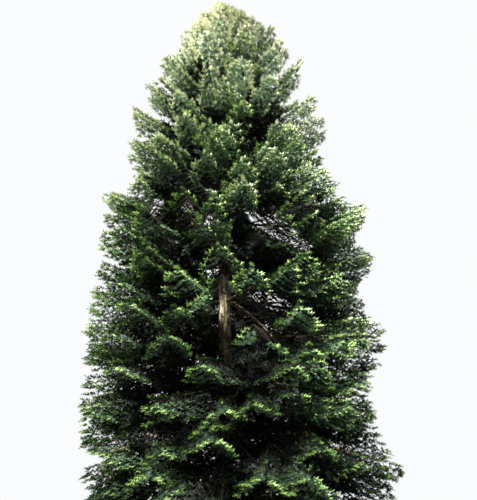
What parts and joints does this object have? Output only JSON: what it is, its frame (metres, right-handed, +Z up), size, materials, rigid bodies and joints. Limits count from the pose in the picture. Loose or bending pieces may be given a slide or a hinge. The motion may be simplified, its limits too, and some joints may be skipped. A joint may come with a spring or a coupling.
{
  "type": "nordmann fir tree",
  "caption": "Full-grown nordmann fir with a tall straight trunk, tiered boughs and a dense blunt conical crown of flat needle sprays down to the ground.",
  "frame": {"origin": "centre of the trunk's flat cut at ground level", "axes": "+Z up along the trunk, -Y towards the front that the picture shows, +X to the right seen from the front"},
  "size_m": [11.4127, 11.4538, 22],
  "materials": {
    "trunk_bark": "rough grey-brown bark with pale streaks",
    "bough_bark": "rough grey-brown bark",
    "needles": "dark green waxy needles with light green new shoots and paler undersides"
  },
  "bodies": {
    "root": {"trunk": "trunk_bark", "bough_1_1": "bough_bark", "bough_1_2": "bough_bark", "bough_1_3": "bough_bark", "bough_1_4": "bough_bark", "bough_2_1": "bough_bark", "bough_2_2": "bough_bark", "bough_2_3": "bough_bark", "bough_2_4": "bough_bark", "bough_3_1": "bough_bark", "bough_3_2": "bough_bark", "bough_3_3": "bough_bark", "bough_3_4": "bough_bark", "bough_4_1": "bough_bark", "bough_4_2": "bough_bark", "bough_4_3": "bough_bark", "bough_4_4": "bough_bark", "foliage_1_1": "needles", "foliage_1_2": "needles", "foliage_1_3": "needles", "foliage_1_4": "needles", "foliage_2_1": "needles", "foliage_2_2": "needles", "foliage_2_3": "needles", "foliage_2_4": "needles", "foliage_3_1": "needles", "foliage_3_2": "needles", "foliage_3_3": "needles", "foliage_3_4": "needles", "foliage_4_1": "needles", "foliage_4_2": "needles", "foliage_4_3": "needles", "foliage_4_4": "needles", "foliage_5_1": "needles", "foliage_5_2": "needles", "foliage_5_3": "needles", "foliage_5_4": "needles", "foliage_6_1": "needles", "foliage_6_2": "needles", "foliage_6_3": "needles", "foliage_6_4": "needles", "foliage_7_1": "needles", "foliage_7_2": "needles", "foliage_7_3": "needles", "foliage_7_4": "needles", "foliage_8_1": "needles", "foliage_8_2": "needles", "foliage_8_3": "needles", "foliage_9_1": "needles", "foliage_9_2": "needles", "foliage_9_3": "needles", "foliage_10_1": "needles", "foliage_10_2": "needles", "foliage_10_3": "needles", "foliage_11_1": "needles", "foliage_11_2": "needles", "foliage_11_3": "needles", "foliage_12_1": "needles", "foliage_12_2": "needles", "foliage_12_3": "needles"}
  },
  "joints": []
}
